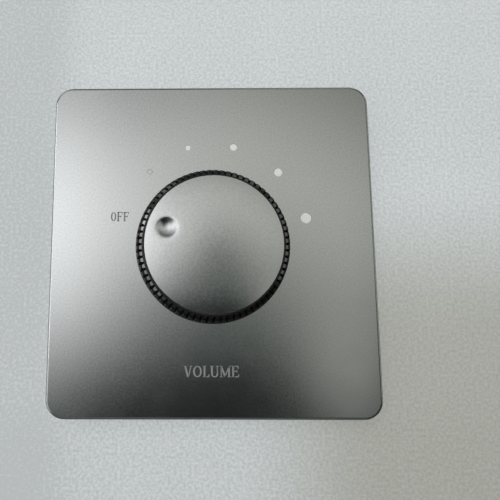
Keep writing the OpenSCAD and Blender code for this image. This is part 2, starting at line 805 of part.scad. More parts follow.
// Six-sided nut with chamfered corners
module switch_nut() {
    corner_r = nut_af / 2 / cos(30);
    chamfer = corner_r - nut_af / 2;
    color("lightgray") stand_up() translate([0, 0, nut_z]) difference() {
        intersection() {
            cylinder(r = corner_r, h = nut_t, $fn = 6);
            rotate_extrude() polygon([
                [0, 0],
                [nut_af / 2, 0],
                [corner_r, chamfer / 2],
                [corner_r, nut_t - chamfer / 2],
                [nut_af / 2, nut_t],
                [0, nut_t]
            ]);
        }
        translate([0, 0, -over]) cylinder(r = bush_r + push_clear, h = nut_t + 2 * over);
    }
}

// Lock washer with teeth inside
module lock_washer() {
    tooth_l = (washer_d / 2 - bush_r) / 2;
    color("silver") stand_up() translate([0, 0, frame_front_z]) difference() {
        ring(washer_d / 2, bush_r + fixed_clear, washer_t);
        for (i = [0:washer_teeth - 1]) {
            rotate([0, 0, i * 360 / washer_teeth]) translate([bush_r - over, -washer_t, -over])
                cube([over + tooth_l, 2 * washer_t, washer_t + 2 * over]);
        }
    }
}

// Cup with detent notches, end stops, a locating peg and tabs that hold the wafer
module switch_housing() {
    housing_r = housing_d / 2;
    stake_r = wafer_r - housing_lip / 2;
    notch_h = ball_d + 2 * moving_gap;
    notches = 360 / step_angle;
    color([0.15, 0.15, 0.16]) stand_up() {
        difference() {
            translate([0, 0, housing_rear_z]) cylinder(r = housing_r, h = frame_land - housing_rear_z);
            translate([0, 0, housing_rear_z - over])
                cylinder(r = detent_r, h = housing_floor_z - housing_rear_z + over);
            translate([0, 0, housing_rear_z - over])
                cylinder(r = wafer_r + push_clear, h = wafer_front_z - housing_rear_z + over);
            translate([0, 0, housing_floor_z - over])
                cylinder(r = bush_r + push_clear, h = housing_front_t + 2 * over);
            for (i = [0:notches - 1]) {
                translate(around(notch_at, rest_angle + i * step_angle))
                    translate([0, 0, rotor_mid_z - notch_h / 2]) cylinder(r = notch_r, h = notch_h);
            }
        }
        for (a = [rest_angle + stop_offset, rest_angle - step_range - stop_offset]) {
            translate([0, 0, bush_rear_z])
                arc_block(detent_r + over / 2, stop_r1, a, stop_angle, bush_flange_t + over / 2);
        }
        for (i = [0:2]) {
            translate([0, 0, housing_rear_z])
                arc_block(housing_r - housing_lip / 2, stake_r, common_angle + i * 120, stop_angle, stake_h);
        }
        translate([0, -peg_at, frame_land - over]) cylinder(r = peg_r, h = over + frame_sheet - moving_gap);
    }
}

// Rotor with two radial bores for the detents and a stop lug
module switch_rotor() {
    color("ivory") stand_up() rotate([0, 0, rest_angle]) difference() {
        union() {
            translate([0, 0, rotor_rear_z]) cylinder(r = rotor_r, h = rotor_t);
            translate([0, 0, rotor_front_z - over])
                arc_block(stop_r2, stop_r1, 0, lug_angle, over + bush_flange_t);
        }
        translate([0, 0, rotor_rear_z - over]) linear_extrude(rotor_t + 2 * over) intersection() {
            circle(shaft_r + push_clear);
            square([shaft_drive_t + 2 * push_clear, shaft_d + over], center = true);
        }
        for (side = [0, 1]) {
            mirror([side, 0, 0]) translate([bore_floor_at, 0, rotor_mid_z]) rotate([0, 90, 0])
                cylinder(r = ball_bore_r, h = rotor_r - bore_floor_at + over);
        }
    }
}

// Two balls at the mouths of the rotor's bores
module detent_balls() {
    color("silver") stand_up() rotate([0, 0, rest_angle]) {
        for (side = [-1, 1]) {
            translate([side * ball_at, 0, rotor_mid_z]) sphere(ball_r);
        }
    }
}

// Two springs that press the balls outwards
module detent_springs() {
    wire_r = spring_wire / 2;
    color("gray") stand_up() rotate([0, 0, rest_angle]) {
        for (turn = [0, 180]) {
            rotate([0, 0, turn]) translate([bore_floor_at + wire_r, 0, rotor_mid_z]) rotate([0, 90, 0])
                coil_spring(spring_d / 2 - wire_r, wire_r, spring_pitch, spring_turns);
        }
    }
}

// Contact dome on the rear of the wiper
module wiper_bump() {
    translate([0, 0, wiper_rear_z]) intersection() {
        sphere(wiper_dome);
        translate([-over, -over, -2 * over]) cube([2 * over, 2 * over, 2 * over]);
    }
}

// Springy contact: a ring on the common contact and an arm to the fixed contacts
module wiper_contact() {
    bump_at = (common_r1 + common_r2) / 2;
    color("peru") stand_up() rotate([0, 0, rest_angle]) {
        translate([0, 0, wiper_rear_z]) linear_extrude(wiper_t) difference() {
            union() {
                circle(common_r2);
                translate([0, -wiper_arm_w / 2]) square([contact_at, wiper_arm_w]);
                translate([contact_at, 0]) circle(wiper_arm_w / 2);
            }
            circle(common_r1);
        }
        translate([contact_at, 0, 0]) wiper_bump();
        for (i = [0:2]) {
            translate(around(bump_at, 60 + i * 120)) wiper_bump();
        }
    }
}

// Insulating disc that carries the fixed contacts
module switch_wafer() {
    color("saddlebrown") stand_up() translate([0, 0, wafer_rear_z]) linear_extrude(wafer_t) difference() {
        circle(wafer_r);
        circle(pivot_d / 2 + running_clear);
        at_tails() circle(tail_d / 2 + push_clear);
    }
}

// Fixed contacts with their tails, and the common ring with its tail
module switch_contacts() {
    color("khaki") stand_up() {
        for (a = tail_angles) {
            translate(around(contact_at, a)) translate([0, 0, wafer_front_z])
                cylinder(d = contact_d, h = contact_h);
        }
        translate([0, 0, wafer_front_z]) linear_extrude(contact_h) {
            difference() {
                circle(common_r2);
                circle(common_r1);
            }
            rotate([0, 0, common_angle]) translate([common_r2 - contact_d / 4, -contact_d / 2])
                square([contact_at - common_r2 + contact_d / 4, contact_d]);
            translate(around(contact_at, common_angle)) circle(contact_d / 2);
        }
        at_tails() translate([0, 0, tail_end_z])
            cylinder(d = tail_d, h = wafer_front_z - tail_end_z + contact_h / 2);
    }
}

// Board that joins the switch, the transformer and the terminals
module circuit_board() {
    color("seagreen") stand_up() translate([0, 0, board_rear_z]) linear_extrude(board_t) difference() {
        rounded_rect(board_w, board_h, board_hole_edge / 2);
        at_posts() circle(screw_d / 2 + 2 * fixed_clear);
        at_tails() circle(tail_d / 2 + fixed_clear);
        at_rail_pins() circle(rail_pin_d / 2 + fixed_clear);
        at_terminals() circle(clamp_pin_d / 2 + fixed_clear);
    }
}

// Pan-head screws with a cross recess, driven from the rear
module board_screws() {
    color("silver") stand_up() at_posts() translate([0, 0, board_rear_z]) difference() {
        rotate_extrude() polygon([
            [0, screw_l],
            [screw_d / 2 - screw_d / 4, screw_l],
            [screw_d / 2, screw_l - screw_d / 2],
            [screw_d / 2, 0],
            [screw_head_d / 2, 0],
            [screw_head_d / 2, -screw_head_h / 2],
            [screw_head_d / 3, -screw_head_h],
            [0, -screw_head_h]
        ]);
        for (turn = [0, 90]) {
            rotate([0, 0, turn])
                translate([-screw_recess_l / 2, -screw_recess_w / 2, -screw_head_h - over])
                cube([screw_recess_l, screw_recess_w, screw_recess_deep + over]);
        }
    }
}

// Stack of E-shaped laminations
module core_e_stack() {
    window_w = (core_w - core_leg) / 2 - core_yoke;
    leg_y = core_y - core_window_h / 2;
    color("dimgray") stand_up() translate([0, 0, core_z - core_stack / 2]) linear_extrude(core_stack)
        difference() {
            translate([-core_w / 2, leg_y]) square([core_w, core_window_h + core_yoke]);
            for (side = [0, 1]) {
                mirror([side, 0]) translate([core_leg / 2, leg_y - over])
                    square([window_w, core_window_h + over]);
            }
        }
}

// Stack of I-shaped laminations that closes the core
module core_i_stack() {
    top_y = core_y - core_window_h / 2;
    color("gray") stand_up() translate([-core_w / 2, top_y - core_yoke, core_z - core_stack / 2])
        cube([core_w, core_yoke, core_stack]);
}

// Bobbin with two flanges and two rails for the pins
module coil_bobbin() {
    hole_w = core_leg + 2 * fixed_clear;
    hole_deep = core_stack + 2 * fixed_clear;
    hole_r = fixed_clear;
    color([0.9, 0.88, 0.82]) stand_up() difference() {
        translate([0, core_y, core_z]) {
            coil_tube(tube_w, tube_deep, bobbin_wall, hole_w, hole_deep, hole_r, bobbin_l);
            for (side = [-1, 1]) {
                translate([0, side * (bobbin_l - flange_t) / 2, 0])
                    coil_tube(flange_w, flange_deep, bobbin_wall, hole_w, hole_deep, hole_r, flange_t);
                translate([0, side * (rail_y - flange_t / 2), (flange_deep - rail_h) / 2])
                    cube([flange_w, rail_t + flange_t, rail_h], center = true);
            }
        }
        at_rail_pins() translate([0, 0, bobbin_z - rail_pin_root])
            cylinder(d = rail_pin_d, h = rail_pin_root + over);
    }
}

// Copper winding between the flanges
module coil_winding() {
    color("chocolate") stand_up() translate([0, core_y, core_z]) coil_tube(
        coil_w, coil_deep, coil_corner_r,
        tube_w + 2 * push_clear, tube_deep + 2 * push_clear, bobbin_wall, coil_l - 2 * push_clear);
}

// Tape wrapped once around the winding
module coil_tape() {
    color("gold") stand_up() translate([0, core_y, core_z]) coil_tube(
        coil_w + 2 * tape_t, coil_deep + 2 * tape_t, coil_corner_r + tape_t,
        coil_w + 2 * push_clear, coil_deep + 2 * push_clear, coil_corner_r, coil_l - 2 * push_clear);
}

// Pins of the bobbin, through the board
module bobbin_pins() {
    color("silver") stand_up() at_rail_pins() translate([0, 0, bobbin_z - rail_pin_root])
        cylinder(d = rail_pin_d - 2 * push_clear, h = pin_end_z - bobbin_z + rail_pin_root);
}

// Terminal block with wire entries below and screw wells behind
module terminal_block() {
    pocket_w = clamp_w + 2 * fixed_clear;
    pocket_h = clamp_h + 2 * fixed_clear;
    pocket_l = clamp_inset + clamp_l + fixed_clear;
    color("green") stand_up() difference() {
        rotate([90, 0, 90]) linear_extrude(term_w, center = true) polygon([
            [term_y0, board_rear_z],
            [term_y0 + term_l, board_rear_z],
            [term_y0 + term_l, term_rear_z],
            [term_y0 + term_slant, term_rear_z],
            [term_y0, term_rear_z + term_slant]
        ]);
        for (i = [0:term_count - 1]) {
            translate([term_x(i) - pocket_w / 2, term_y0 - over, clamp_z + fixed_clear - pocket_h])
                cube([pocket_w, pocket_l + over, pocket_h]);
        }
        at_terminals() {
            translate([0, 0, term_rear_z - over])
                cylinder(d = clamp_head_d + 4 * fixed_clear, h = term_h - clamp_stand - clamp_in_h + over);
            translate([0, 0, clamp_z - over])
                cylinder(r = clamp_pin_d / 2 + fixed_clear, h = clamp_stand + 2 * over);
        }
    }
}

// Clamps of bent brass with their board pins
module terminal_clamps() {
    color("gold") stand_up() at_terminals() difference() {
        union() {
            translate([-clamp_w / 2, -clamp_l / 2, clamp_z - clamp_h]) cube([clamp_w, clamp_l, clamp_h]);
            translate([0, 0, clamp_z - clamp_wall / 2])
                cylinder(d = clamp_pin_d, h = pin_end_z - clamp_z + clamp_wall / 2);
        }
        translate([-clamp_in_w / 2, -clamp_l / 2 - over, clamp_z - clamp_wall - clamp_in_h])
            cube([clamp_in_w, clamp_l + 2 * over, clamp_in_h]);
        translate([0, 0, clamp_z - clamp_h - over])
            cylinder(r = clamp_screw_d / 2 + fixed_clear, h = clamp_wall + 2 * over);
    }
}

// Slotted screws of the clamps, backed off
module terminal_screws() {
    color("silver") stand_up() at_terminals() difference() {
        union() {
            translate([0, 0, term_rear_z]) cylinder(d = clamp_head_d, h = clamp_head_h);
            translate([0, 0, clamp_head_z])
                cylinder(d = clamp_screw_d, h = clamp_z - clamp_wall - clamp_in_h - clamp_head_z);
        }
        translate([-clamp_head_d, -clamp_slot_w / 2, term_rear_z - over])
            cube([2 * clamp_head_d, clamp_slot_w, clamp_slot_deep + over]);
    }
}

face_plate();
mounting_frame();
knob_body();
knob_cap();
knob_spring_ring();
switch_shaft();
shaft_clip();
switch_bush();
switch_nut();
lock_washer();
switch_housing();
switch_rotor();
detent_balls();
detent_springs();
wiper_contact();
switch_wafer();
switch_contacts();
circuit_board();
board_screws();
core_e_stack();
core_i_stack();
coil_bobbin();
coil_winding();
coil_tape();
bobbin_pins();
terminal_block();
terminal_clamps();
terminal_screws();
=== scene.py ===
import math

import bmesh
import bpy
import numpy as np
from mathutils import Matrix, Vector


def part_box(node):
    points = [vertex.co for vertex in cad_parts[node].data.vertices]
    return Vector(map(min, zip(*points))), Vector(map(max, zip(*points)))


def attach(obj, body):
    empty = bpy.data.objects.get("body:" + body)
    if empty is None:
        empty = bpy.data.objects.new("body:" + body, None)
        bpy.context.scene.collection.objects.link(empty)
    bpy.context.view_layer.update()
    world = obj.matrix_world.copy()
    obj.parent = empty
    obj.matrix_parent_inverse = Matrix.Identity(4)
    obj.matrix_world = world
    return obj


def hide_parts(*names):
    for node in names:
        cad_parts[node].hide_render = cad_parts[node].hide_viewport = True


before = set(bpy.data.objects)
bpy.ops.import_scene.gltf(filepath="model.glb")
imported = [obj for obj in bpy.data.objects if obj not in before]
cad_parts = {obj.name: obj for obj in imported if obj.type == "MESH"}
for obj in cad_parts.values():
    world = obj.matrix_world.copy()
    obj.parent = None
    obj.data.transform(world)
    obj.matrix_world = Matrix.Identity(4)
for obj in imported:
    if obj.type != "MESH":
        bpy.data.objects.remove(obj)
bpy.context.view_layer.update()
metre = 1000.0  # millimetres in one
mergeWithin = 1e-7  # metres between points that become one
print("frame loaded:", len(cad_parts), "nodes")


def onWall(right, up, out):
    # millimetres to the right, up the wall and out of it become metres in the frame
    right, up, out = np.broadcast_arrays(right, up, out)
    return np.stack([right, -out, up], axis=-1) / metre


def reach(node):
    # lowest and highest place of a node as (right, up, out) in millimetres
    low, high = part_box(node)
    first = np.array([low[0], low[2], -high[1]]) * metre
    last = np.array([high[0], high[2], -low[1]]) * metre
    return first, last


class Wire:
    # one socket of a node tree; an operator on it adds a Math node

    def __init__(self, tree, socket=None):
        self.tree = tree
        self.socket = socket

    def node(self, kind, settings=None, inputs=None, out=0):
        # a node of one kind: its settings come first, then its sockets' values or links
        made = self.tree.nodes.new(kind)
        for key, value in (settings or {}).items():
            setattr(made, key, value)
        for key, value in (inputs or {}).items():
            if isinstance(value, Wire):
                self.tree.links.new(value.socket, made.inputs[key])
            else:
                made.inputs[key].default_value = value
        return Wire(self.tree, made.outputs[out] if made.outputs else None)

    def math(self, operation, first, second=0.0):
        # one Math node on two values
        return self.node("ShaderNodeMath", {"operation": operation}, {0: first, 1: second})

    def __add__(self, other):
        return self.math("ADD", self, other)

    def __radd__(self, other):
        return self.math("ADD", other, self)

    def __sub__(self, other):
        return self.math("SUBTRACT", self, other)

    def __rsub__(self, other):
        return self.math("SUBTRACT", other, self)

    def __mul__(self, other):
        return self.math("MULTIPLY", self, other)

    def __rmul__(self, other):
        return self.math("MULTIPLY", other, self)

    def __truediv__(self, other):
        return self.math("DIVIDE", self, other)

    def __rtruediv__(self, other):
        return self.math("DIVIDE", other, self)

    def place(self):
        # the piece's own coordinates in millimetres
        spot = self.node("ShaderNodeTexCoord", None, None, "Object")
        return self.node("ShaderNodeVectorMath", {"operation": "SCALE"}, {0: spot, "Scale": metre})

    def part(self, axis):
        # one coordinate of a place
        return self.node("ShaderNodeSeparateXYZ", None, {0: self}, axis)

    def noise(self, size, detail, rough=0.5):
        # soft noise whose grains are about the given size across
        values = {"Vector": self, "Scale": 1.0 / size, "Detail": detail, "Roughness": rough}
        return self.node("ShaderNodeTexNoise", None, values)

    def ease(self, low, high):
        # smooth step from 0 at low to 1 at high
        values = {"Value": self, "From Min": low, "From Max": high}
        return self.node("ShaderNodeMapRange", {"interpolation_type": "SMOOTHSTEP"}, values)

    def swing(self, amount):
        # a value from 0 to 1 becomes a change of half the amount down or up
        return (self - 0.5) * amount

    def blend(self, first, second):
        # this value mixes two colours
        return self.node("ShaderNodeMix", {"data_type": "RGBA"}, {0: self, 6: first, 7: second}, 2)

    def bump(self, height, strength):
        # the height is in millimetres
        values = {"Height": self, "Distance": height / metre, "Strength": strength}
        return self.node("ShaderNodeBump", None, values)

    def ripple(self, pitch):
        # waves from 0 to 1 along this length, one in every pitch
        return self.math("SINE", self * (2 * math.pi / pitch)) * 0.5 + 0.5

    def bell(self, middle, width):
        # bell curve: e to minus half the square of the distance from the middle, counted in widths
        off = (self - middle) / width
        return self.math("EXPONENT", off * off * -0.5)


def grey(value):
    # equal red, green and blue
    return (value, value, value, 1.0)


def emptyFinish(name):
    # a material without nodes, and the wire that adds them
    made = bpy.data.materials.new(name)
    made.use_nodes = True
    made.node_tree.nodes.clear()
    return made, Wire(made.node_tree)


def newFinish(name, fixed, varied):
    # fixed holds the shader's own values, varied makes the wires that change over the surface
    made, start = emptyFinish(name)
    shader = start.node("ShaderNodeBsdfPrincipled", None, {**fixed, **varied(start.place())})
    start.node("ShaderNodeOutputMaterial", None, {"Surface": shader})
    return made


plateFront = reach("face_plate")[1][2]

# face plate and cap: fine metallic paint, duller where it turns over the plate's edge
platePaint = {"dim": (0.43, 0.46, 0.441, 1), "pale": (0.514, 0.55, 0.527, 1), "grain": 0.5, "cloud": 6.0,
              "spread": (0.3, 0.7), "grainShare": 0.8, "cloudShare": 0.2, "rough": 0.2,
              "roughGrain": 0.10, "roughCloud": 0.05, "edgeRough": 0.26, "edgeDrop": (0.03, 0.15),
              "height": 0.02, "strength": 0.12}


def paintedMetal(name, look):
    # grain and clouds mix two tones and swing the roughness, which rises down the rolled edge
    def varied(place):
        grain = place.noise(look["grain"], detail=3)
        cloud = place.noise(look["cloud"], detail=2)
        speckle = grain.ease(*look["spread"]) * look["grainShare"] + cloud * look["cloudShare"]
        drop = plateFront + place.part("Y")
        edge = drop.ease(*look["edgeDrop"]) * look["edgeRough"]
        rough = grain.swing(look["roughGrain"]) + cloud.swing(look["roughCloud"]) + edge + look["rough"]
        return {"Base Color": speckle.blend(look["dim"], look["pale"]), "Roughness": rough,
                "Normal": grain.bump(look["height"], look["strength"])}
    return newFinish(name, {"Metallic": 1.0}, varied)


# moulded plastics: a base colour, a fine sparked grain and a slow change of gloss
moulding = {"cloudGrains": 40, "grainShare": 0.4, "cloudShare": 0.6, "roughCloud": 0.12, "roughGrain": 0.08,
            "height": 0.02}
plastics = {
    "frameBlack": {"dim": grey(0.018), "pale": grey(0.03), "rough": 0.5, "grain": 0.18, "strength": 0.35},
    "housingBlack": {"dim": (0.02, 0.018, 0.016, 1), "pale": (0.034, 0.03, 0.027, 1), "rough": 0.38,
                     "grain": 0.25, "strength": 0.2},
    "rotorIvory": {"dim": (0.70, 0.66, 0.54, 1), "pale": (0.80, 0.77, 0.66, 1), "rough": 0.4,
                   "grain": 0.3, "strength": 0.1},
    "bobbinCream": {"dim": (0.66, 0.61, 0.50, 1), "pale": (0.78, 0.74, 0.63, 1), "rough": 0.45,
                    "grain": 0.2, "strength": 0.2},
    "terminalGreen": {"dim": (0.02, 0.19, 0.07, 1), "pale": (0.035, 0.27, 0.11, 1), "rough": 0.36,
                      "grain": 0.2, "strength": 0.2},
}


def mouldedPlastic(name, look):
    # grain and much wider clouds mix two tones and swing the roughness
    def varied(place):
        grain = place.noise(look["grain"], detail=2)
        cloud = place.noise(look["grain"] * moulding["cloudGrains"], detail=2)
        mottle = grain * moulding["grainShare"] + cloud * moulding["cloudShare"]
        rough = cloud.swing(moulding["roughCloud"]) + grain.swing(moulding["roughGrain"]) + look["rough"]
        return {"Base Color": mottle.blend(look["dim"], look["pale"]), "Roughness": rough,
                "Normal": grain.bump(moulding["height"], look["strength"])}
    return newFinish(name, {"IOR": 1.5}, varied)


# knob: matte, with a polished band on the slope between its shoulder and the collar
knobBlack = {
    "grain": 0.12, "bandFrom": (12.40, 12.55), "bandTo": (12.94, 13.02),
    "matte": {"colour": grey(0.006), "rough": 0.5, "roughGrain": 0.1, "specular": 0.45, "index": 1.5,
              "height": 0.02, "strength": 0.3},
    "polish": {"colour": grey(0.003), "rough": 0.18, "roughGrain": 0.04, "specular": 1.0, "index": 1.65,
               "height": 0.01, "strength": 0.04},
}


def polishedKnob(name, look):
    # a band between two heights mixes the matte coat with the polished one
    made, start = emptyFinish(name)
    place = start.place()
    grain = place.noise(look["grain"], detail=2)
    out = place.part("Y") * -1.0
    band = out.ease(*look["bandFrom"]) * (1 - out.ease(*look["bandTo"]))

    def coat(surface):
        # one colour, and the grain swings its roughness
        return start.node("ShaderNodeBsdfPrincipled", None, {
            "Base Color": surface["colour"],
            "Roughness": grain.swing(surface["roughGrain"]) + surface["rough"],
            "Specular IOR Level": surface["specular"], "IOR": surface["index"],
            "Normal": grain.bump(surface["height"], surface["strength"])})

    matte = coat(look["matte"])
    polish = coat(look["polish"])
    both = start.node("ShaderNodeMixShader", None, {0: band, 1: matte, 2: polish})
    start.node("ShaderNodeOutputMaterial", None, {"Surface": both})
    return made


# plated and bare metals: a colour, the colour of dull patches and a fine grain
bareMetal = {"cloud": 1.6, "grain": 0.12, "spread": (0.3, 0.7), "roughCloud": 0.2, "roughGrain": 0.1,
             "height": 0.006, "strength": 0.2}
metals = {
    "springSteel": {"dim": (0.30, 0.30, 0.31, 1), "pale": (0.48, 0.48, 0.49, 1), "rough": 0.30},
    "platedSteel": {"dim": (0.50, 0.51, 0.52, 1), "pale": (0.72, 0.72, 0.71, 1), "rough": 0.26},
    "nickelBrass": {"dim": (0.56, 0.50, 0.38, 1), "pale": (0.74, 0.68, 0.54, 1), "rough": 0.28},
    "contactBronze": {"dim": (0.60, 0.38, 0.20, 1), "pale": (0.78, 0.54, 0.32, 1), "rough": 0.26},
    "tinnedPin": {"dim": (0.56, 0.57, 0.58, 1), "pale": (0.76, 0.77, 0.78, 1), "rough": 0.32},
    "solder": {"dim": (0.58, 0.59, 0.60, 1), "pale": (0.78, 0.79, 0.80, 1), "rough": 0.2},
}


def patchyMetal(name, look):
    # clouds mix two tones, and clouds and grain swing the roughness
    def varied(place):
        cloud = place.noise(bareMetal["cloud"], detail=3)
        grain = place.noise(bareMetal["grain"], detail=2)
        tone = cloud.ease(*bareMetal["spread"]).blend(look["dim"], look["pale"])
        rough = cloud.swing(bareMetal["roughCloud"]) + grain.swing(bareMetal["roughGrain"]) + look["rough"]
        return {"Base Color": tone, "Roughness": rough,
                "Normal": grain.bump(bareMetal["height"], bareMetal["strength"])}
    return newFinish(name, {"Metallic": 1.0}, varied)


# core: thin sheets stacked out of the wall, with stains of rust on them
coreSheets = {"sheet": 0.5, "gapTo": (0.1, 0.5), "dark": (0.05, 0.05, 0.055, 1),
              "steel": (0.23, 0.235, 0.25, 1), "rust": (0.16, 0.075, 0.035, 1), "fleck": 0.6, "stain": 3.0,
              "stainFrom": (0.58, 0.78), "stainShare": 0.7, "rough": 0.36, "stainRough": 0.25, "metal": 0.75,
              "stainMetal": 0.5, "height": 0.08, "strength": 0.6}


def stackedCore(name, look):
    # waves along the stack darken the gaps; stains add rust and roughness, and take metal away
    def varied(place):
        line = place.part("Y").ripple(look["sheet"]).ease(*look["gapTo"])
        stain = place.noise(look["stain"], detail=4, rough=0.6).ease(*look["stainFrom"])
        sheet = place.noise(look["fleck"], detail=2).blend(look["dark"], look["steel"])
        tone = (stain * look["stainShare"]).blend(line.blend(look["dark"], sheet), look["rust"])
        return {"Base Color": tone, "Roughness": stain * look["stainRough"] + look["rough"],
                "Metallic": look["metal"] - stain * look["stainMetal"],
                "Normal": line.bump(look["height"], look["strength"])}
    return newFinish(name, {"IOR": 1.5}, varied)


# winding: enamelled wire laid side by side up the bobbin, with painted shade in the gaps between its turns
windingWire = {"wire": 0.28, "gapTo": (0.05, 0.6), "gap": (0.10, 0.03, 0.012, 1),
               "copper": (0.58, 0.22, 0.085, 1), "metal": 0.3, "crestMetal": 0.5, "rough": 0.28,
               "height": 0.1, "strength": 0.8}


def woundCopper(name, look):
    # waves up the bobbin: painted shade in the gaps between turns, and more metallic towards the crests
    def varied(place):
        turn = place.part("Z").ripple(look["wire"])
        return {"Base Color": turn.ease(*look["gapTo"]).blend(look["gap"], look["copper"]),
                "Metallic": turn * look["crestMetal"] + look["metal"],
                "Normal": turn.bump(look["height"], look["strength"])}
    return newFinish(name, {"Roughness": look["rough"]}, varied)


# tape: amber film with faint turns of wire pressed through it, and creases
coilTape = {"dim": (0.46, 0.20, 0.03, 1), "pale": (0.66, 0.34, 0.07, 1), "wire": 0.55, "cloud": 4.0,
            "crease": 1.8, "cloudShare": 0.7, "wireShare": 0.3, "rough": 0.16, "roughCloud": 0.14,
            "wireHeight": 0.25, "height": 0.06, "strength": 0.35}


def amberTape(name, look):
    # clouds and waves mix two tones; waves and creases raise the surface
    def varied(place):
        turn = place.part("Z").ripple(look["wire"])
        cloud = place.noise(look["cloud"], detail=3)
        crease = place.noise(look["crease"], detail=3, rough=0.6)
        tone = (cloud * look["cloudShare"] + turn * look["wireShare"]).blend(look["dim"], look["pale"])
        return {"Base Color": tone, "Roughness": cloud * look["roughCloud"] + look["rough"],
                "Normal": (turn * look["wireHeight"] + crease).bump(look["height"], look["strength"])}
    return newFinish(name, {"IOR": 1.55}, varied)


# boards: pressed paper for the wafer, green masked glass cloth for the main board and its tracks
laminate = {"fibre": 0.5, "cloth": 0.6, "roughFibre": 0.15, "height": 0.01, "strength": 0.5}
boards = {
    "waferBrown": {"dim": (0.16, 0.07, 0.025, 1), "pale": (0.27, 0.13, 0.05, 1), "rough": 0.42,
                   "weave": 0.0},
    "boardGreen": {"dim": (0.012, 0.085, 0.035, 1), "pale": (0.024, 0.135, 0.06, 1), "rough": 0.3,
                   "weave": 0.5},
    "trackGreen": {"dim": (0.03, 0.17, 0.06, 1), "pale": (0.045, 0.23, 0.09, 1), "rough": 0.26,
                   "weave": 0.3},
}


def pressedBoard(name, look):
    # fibres and a cloth of two crossed waves mix two tones, in shares set by the weave
    def varied(place):
        fibre = place.noise(laminate["fibre"], detail=4, rough=0.65)
        cloth = place.part("X").ripple(laminate["cloth"]) * place.part("Z").ripple(laminate["cloth"])
        tone = (fibre * (1 - look["weave"]) + cloth * look["weave"]).blend(look["dim"], look["pale"])
        return {"Base Color": tone, "Roughness": fibre.swing(laminate["roughFibre"]) + look["rough"],
                "Normal": cloth.bump(laminate["height"], look["weave"] * laminate["strength"])}
    return newFinish(name, {"IOR": 1.5}, varied)


# printed marks: flat ink, a little worn
worn = {"grain": 0.15, "roughGrain": 0.2}
inks = {
    "letterInk": {"dim": (0.215, 0.24, 0.23, 1), "pale": (0.28, 0.305, 0.295, 1), "rough": 0.55},
    "offInk": {"dim": grey(0.18), "pale": grey(0.24), "rough": 0.55},
    "ringInk": {"dim": grey(0.40), "pale": grey(0.46), "rough": 0.55},
    "dotInk": {"dim": (0.74, 0.76, 0.73, 1), "pale": (0.82, 0.84, 0.81, 1), "rough": 0.5},
}


def printedInk(name, look):
    # grain mixes two tones and swings the roughness
    def varied(place):
        grain = place.noise(worn["grain"], detail=3)
        return {"Base Color": grain.blend(look["dim"], look["pale"]),
                "Roughness": grain.swing(worn["roughGrain"]) + look["rough"]}
    return newFinish(name, {"IOR": 1.45}, varied)


families = [
    (paintedMetal, {"platePaint": platePaint}), (polishedKnob, {"knobBlack": knobBlack}),
    (mouldedPlastic, plastics), (patchyMetal, metals), (pressedBoard, boards), (printedInk, inks),
    (stackedCore, {"coreSheets": coreSheets}), (woundCopper, {"windingWire": windingWire}),
    (amberTape, {"coilTape": coilTape}),
]
finishes = {name: make(name, look) for make, looks in families for name, look in looks.items()}

nodeFinish = {
    "face_plate": "platePaint", "knob_cap": "platePaint", "knob_body": "knobBlack",
    "mounting_frame": "frameBlack", "switch_housing": "housingBlack", "switch_rotor": "rotorIvory",
    "knob_spring_ring": "springSteel", "shaft_clip": "springSteel", "detent_springs": "springSteel",
    "lock_washer": "springSteel", "switch_shaft": "platedSteel", "detent_balls": "platedSteel",
    "board_screws": "platedSteel", "terminal_screws": "platedSteel", "switch_bush": "nickelBrass",
    "switch_nut": "nickelBrass", "terminal_clamps": "nickelBrass", "wiper_contact": "contactBronze",
    "switch_contacts": "contactBronze", "bobbin_pins": "tinnedPin", "switch_wafer": "waferBrown",
    "circuit_board": "boardGreen", "core_e_stack": "coreSheets", "core_i_stack": "coreSheets",
    "coil_bobbin": "bobbinCream", "coil_winding": "windingWire", "coil_tape": "coilTape",
    "terminal_block": "terminalGreen",
}
for node, finish in nodeFinish.items():
    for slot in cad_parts[node].material_slots:
        slot.material = finishes[finish]
print("finishes made:", len(finishes))


def gridFaces(rows, columns, closed):
    # quads between neighbouring points of a grid; a closed grid joins its last column to its first
    index = np.arange(rows * columns).reshape(rows, columns)
    ahead = np.roll(index, -1, axis=1)
    if not closed:
        index, ahead = index[:, :-1], ahead[:, :-1]
    quads = np.stack([index[:-1], ahead[:-1], ahead[1:], index[1:]], axis=-1)
    return quads.reshape(-1, 4)


def gridMesh(name, grids, closed):
    # one mesh from a list of point grids, each rows by columns by three
    sizes = [grid.shape[0] * grid.shape[1] for grid in grids]
    starts = np.cumsum([0] + sizes[:-1])
    points = np.concatenate([grid.reshape(-1, 3) for grid in grids])
    quads = [gridFaces(*grid.shape[:2], closed) + start for grid, start in zip(grids, starts)]
    mesh = bpy.data.meshes.new(name)
    mesh.from_pydata(points.tolist(), [], np.concatenate(quads).tolist())
    return mesh


def newPiece(name, grids, finish, body, closed, sharp):
    # a smooth piece with its doubles merged, its faces outwards and its edges sharp above an angle
    mesh = gridMesh(name, grids, closed)
    work = bmesh.new()
    work.from_mesh(mesh)
    bmesh.ops.remove_doubles(work, verts=work.verts, dist=mergeWithin)
    bmesh.ops.recalc_face_normals(work, faces=work.faces)
    work.to_mesh(mesh)
    work.free()
    mesh.polygons.foreach_set("use_smooth", np.ones(len(mesh.polygons), dtype=bool))
    mesh.set_sharp_from_angle(angle=math.radians(sharp))
    piece = bpy.data.objects.new(name, mesh)
    bpy.context.scene.collection.objects.link(piece)
    mesh.materials.append(finishes[finish])
    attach(piece, body)
    return piece


